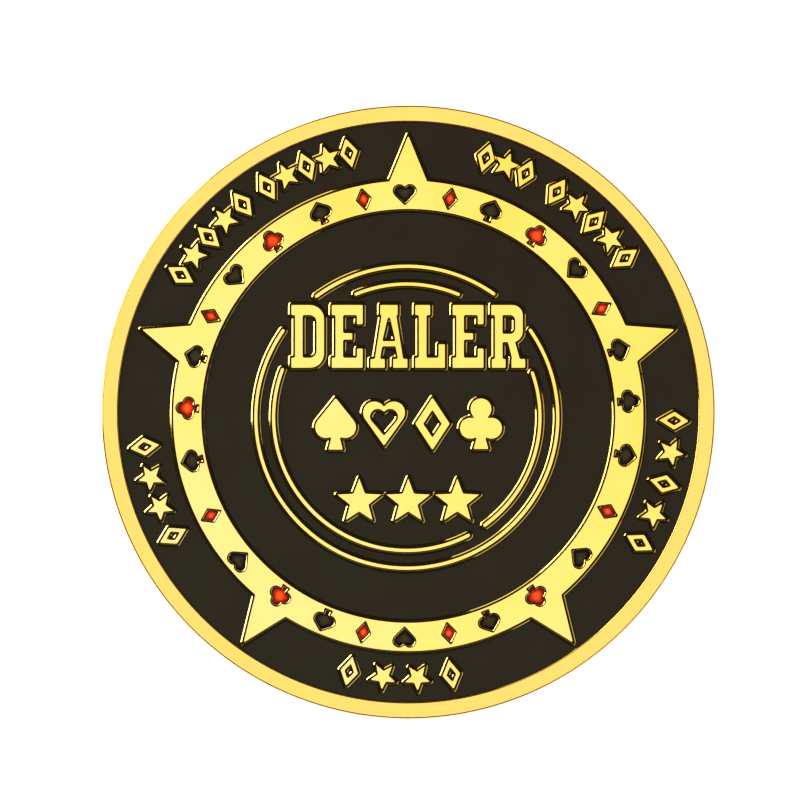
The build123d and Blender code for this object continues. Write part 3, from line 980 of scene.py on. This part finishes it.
def softbox(name, place, size, radiance, target=(0, 0, 0)):
    """A flat lamp of this radiance that faces the target; its power follows from its area."""
    light = bpy.data.lights.new(name, "AREA")
    light.shape = "RECTANGLE"
    light.size, light.size_y = size
    light.energy = radiance * math.pi * size[0] * size[1]
    made = bpy.data.objects.new(name, light)
    made.location = place
    made.rotation_mode = "QUATERNION"
    made.rotation_quaternion = (Vector(target) - Vector(place)).to_track_quat("-Z", "Y")
    bpy.context.scene.collection.objects.link(made)
    return made


def around_button(azimuth, elevation, distance):
    """A place seen from the button at this azimuth, clockwise from the top of the design, and elevation."""
    turn, rise = math.radians(azimuth), math.radians(elevation)
    flat_distance = distance * math.cos(rise)
    return (flat_distance * math.sin(turn), flat_distance * math.cos(turn), distance * math.sin(rise))


softbox("overhead_softbox", (0.0, 0.0, 0.45), (0.30, 0.30), 1.3)
softbox("left_softbox", around_button(293, 20, 0.45), (0.40, 0.17), 6.0)
softbox("rear_softbox", around_button(329, 20, 0.50), (0.21, 0.19), 1.1)
softbox("right_softbox", around_button(98, 20, 0.50), (0.30, 0.10), 0.5)
softbox("corner_softbox", around_button(135, 16, 0.52), (0.34, 0.19), 0.5)
softbox("front_softbox", around_button(185, 46, 0.50), (0.40, 0.10), 0.08)

fill = bpy.data.lights.new("table_fill", "SUN")
fill.energy = 3.4
fill.angle = math.radians(8)
fill_lamp = bpy.data.objects.new("table_fill", fill)
fill_lamp.visible_glossy = False
bpy.context.scene.collection.objects.link(fill_lamp)

# The camera sees a pale backdrop. Reflections see a dark room with a paler band along the horizon.
HORIZON_TOP = math.radians(7)
DARK_FROM = math.radians(14)
HORIZON_LIGHT = 0.40
DARK_ROOM_LIGHT = 0.015
BACKDROP_LIGHT = 0.95

world = bpy.data.worlds.new("studio")
world.use_nodes = True
background = world.node_tree.nodes["Background"]
background.inputs["Color"].default_value = (1, 1, 1, 1)
direction = world.node_tree.nodes.new("ShaderNodeTexCoord")
height = world.node_tree.nodes.new("ShaderNodeSeparateXYZ")
room = world.node_tree.nodes.new("ShaderNodeMapRange")
room.interpolation_type = "SMOOTHSTEP"
room.inputs["From Min"].default_value = math.sin(HORIZON_TOP)
room.inputs["From Max"].default_value = math.sin(DARK_FROM)
room.inputs["To Min"].default_value = HORIZON_LIGHT
room.inputs["To Max"].default_value = DARK_ROOM_LIGHT
seen = world.node_tree.nodes.new("ShaderNodeLightPath")
strength = world.node_tree.nodes.new("ShaderNodeMapRange")
strength.inputs["To Max"].default_value = BACKDROP_LIGHT
world.node_tree.links.new(direction.outputs["Generated"], height.inputs["Vector"])
world.node_tree.links.new(height.outputs["Z"], room.inputs["Value"])
world.node_tree.links.new(room.outputs["Result"], strength.inputs["To Min"])
world.node_tree.links.new(seen.outputs["Is Camera Ray"], strength.inputs["Value"])
world.node_tree.links.new(strength.outputs["Result"], background.inputs["Strength"])
bpy.context.scene.world = world
bpy.context.scene.view_settings.view_transform = "Standard"

FRAME_WIDTH = 0.06548  # width of the table that the picture takes in
LENS = 100.0
camera_data = bpy.data.cameras.new("camera")
camera_data.lens = LENS
camera_data.sensor_width = 36.0
camera_data.clip_start = 0.001
camera = bpy.data.objects.new("camera", camera_data)
camera.location = (-0.00051, 0.00082, cad_high.z + FRAME_WIDTH * LENS / camera_data.sensor_width)
bpy.context.scene.collection.objects.link(camera)
bpy.context.scene.camera = camera
